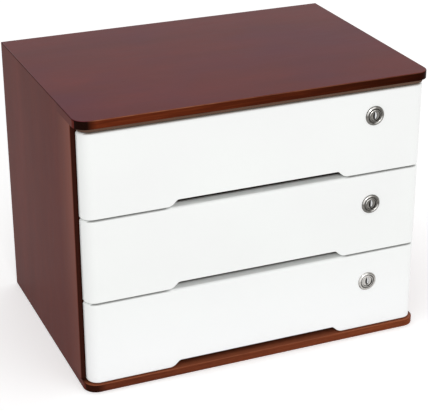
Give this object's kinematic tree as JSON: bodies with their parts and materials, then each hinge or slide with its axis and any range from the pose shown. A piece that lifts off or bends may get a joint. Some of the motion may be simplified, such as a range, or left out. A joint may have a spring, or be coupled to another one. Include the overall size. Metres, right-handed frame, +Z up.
{
  "type": "desktop file drawer cabinet",
  "caption": "Desktop cabinet with white drawer fronts on ball-bearing slides, finger pulls, cam locks and a dark stained wood carcass with rounded top and bottom panels.",
  "frame": {"origin": "middle of the footprint, on the surface that the cabinet stands on", "axes": "+X to the right of someone who faces the drawers, +Y to the back, +Z up"},
  "size_m": [0.4, 0.28, 0.31],
  "materials": {
    "stained_wood": "satin mahogany-stained veneer",
    "white_lacquer": "white high-gloss lacquer on board",
    "box_birch": "clear-varnished birch plywood",
    "dowel_beech": "plain beech",
    "zinc_steel": "bright zinc-plated steel",
    "ball_steel": "polished bearing balls in a plated strip cage",
    "lock_nickel": "bright nickel plate"
  },
  "bodies": {
    "cabinet": {"top_panel": "stained_wood", "bottom_panel": "stained_wood", "left_side_panel": "stained_wood", "right_side_panel": "stained_wood", "back_panel": "stained_wood", "top_front_lath": "stained_wood", "lower_divider_rail": "stained_wood", "upper_divider_rail": "stained_wood", "top_lock_rail": "stained_wood", "carcass_dowels": "dowel_beech", "base_screws": "zinc_steel", "cabinet_slide_screws": "zinc_steel", "bottom_drawer_left_outer_slide": "zinc_steel", "bottom_drawer_right_outer_slide": "zinc_steel", "middle_drawer_left_outer_slide": "zinc_steel", "middle_drawer_right_outer_slide": "zinc_steel", "top_drawer_left_outer_slide": "zinc_steel", "top_drawer_right_outer_slide": "zinc_steel"},
    "bottom_drawer": {"bottom_drawer_front": "white_lacquer", "bottom_drawer_left_side": "box_birch", "bottom_drawer_right_side": "box_birch", "bottom_drawer_back": "box_birch", "bottom_drawer_bottom": "box_birch", "bottom_drawer_dowels": "dowel_beech", "bottom_drawer_left_inner_slide": "zinc_steel", "bottom_drawer_right_inner_slide": "zinc_steel", "bottom_drawer_slide_screws": "zinc_steel", "bottom_drawer_lock_housing": "lock_nickel", "bottom_drawer_lock_nut": "zinc_steel"},
    "bottom_drawer_cages": {"bottom_drawer_ball_cages": "ball_steel"},
    "bottom_drawer_lock": {"bottom_drawer_lock_plug": "lock_nickel", "bottom_drawer_lock_cam": "zinc_steel"},
    "middle_drawer": {"middle_drawer_front": "white_lacquer", "middle_drawer_left_side": "box_birch", "middle_drawer_right_side": "box_birch", "middle_drawer_back": "box_birch", "middle_drawer_bottom": "box_birch", "middle_drawer_dowels": "dowel_beech", "middle_drawer_left_inner_slide": "zinc_steel", "middle_drawer_right_inner_slide": "zinc_steel", "middle_drawer_slide_screws": "zinc_steel", "middle_drawer_lock_housing": "lock_nickel", "middle_drawer_lock_nut": "zinc_steel"},
    "middle_drawer_cages": {"middle_drawer_ball_cages": "ball_steel"},
    "middle_drawer_lock": {"middle_drawer_lock_plug": "lock_nickel", "middle_drawer_lock_cam": "zinc_steel"},
    "top_drawer": {"top_drawer_front": "white_lacquer", "top_drawer_left_side": "box_birch", "top_drawer_right_side": "box_birch", "top_drawer_back": "box_birch", "top_drawer_bottom": "box_birch", "top_drawer_dowels": "dowel_beech", "top_drawer_left_inner_slide": "zinc_steel", "top_drawer_right_inner_slide": "zinc_steel", "top_drawer_slide_screws": "zinc_steel", "top_drawer_lock_housing": "lock_nickel", "top_drawer_lock_nut": "zinc_steel"},
    "top_drawer_cages": {"top_drawer_ball_cages": "ball_steel"},
    "top_drawer_lock": {"top_drawer_lock_plug": "lock_nickel", "top_drawer_lock_cam": "zinc_steel"}
  },
  "joints": [
    {"name": "bottom_drawer_slide", "type": "slide", "parent": "cabinet", "child": "bottom_drawer", "axis": [0, -1, 0], "range_m": [0, 0.175]},
    {"name": "bottom_drawer_cage_roll", "type": "slide", "parent": "cabinet", "child": "bottom_drawer_cages", "axis": [0, -1, 0], "range_m": [0, 0.0875]},
    {"name": "bottom_drawer_lock_turn", "type": "hinge", "parent": "bottom_drawer", "child": "bottom_drawer_lock", "pos_m": [0.134, -0.138, 0.06847], "axis": [0, -1, 0], "range_deg": [-90, 0]},
    {"name": "middle_drawer_slide", "type": "slide", "parent": "cabinet", "child": "middle_drawer", "axis": [0, -1, 0], "range_m": [0, 0.175]},
    {"name": "middle_drawer_cage_roll", "type": "slide", "parent": "cabinet", "child": "middle_drawer_cages", "axis": [0, -1, 0], "range_m": [0, 0.0875]},
    {"name": "middle_drawer_lock_turn", "type": "hinge", "parent": "middle_drawer", "child": "middle_drawer_lock", "pos_m": [0.134, -0.138, 0.16413], "axis": [0, -1, 0], "range_deg": [-90, 0]},
    {"name": "top_drawer_slide", "type": "slide", "parent": "cabinet", "child": "top_drawer", "axis": [0, -1, 0], "range_m": [0, 0.175]},
    {"name": "top_drawer_cage_roll", "type": "slide", "parent": "cabinet", "child": "top_drawer_cages", "axis": [0, -1, 0], "range_m": [0, 0.0875]},
    {"name": "top_drawer_lock_turn", "type": "hinge", "parent": "top_drawer", "child": "top_drawer_lock", "pos_m": [0.134, -0.138, 0.2678], "axis": [0, -1, 0], "range_deg": [-90, 0]}
  ],
  "couplings": [
    {"joint": "bottom_drawer_cage_roll", "follows": "bottom_drawer_slide", "ratio": 0.5},
    {"joint": "middle_drawer_cage_roll", "follows": "middle_drawer_slide", "ratio": 0.5},
    {"joint": "top_drawer_cage_roll", "follows": "top_drawer_slide", "ratio": 0.5}
  ]
}
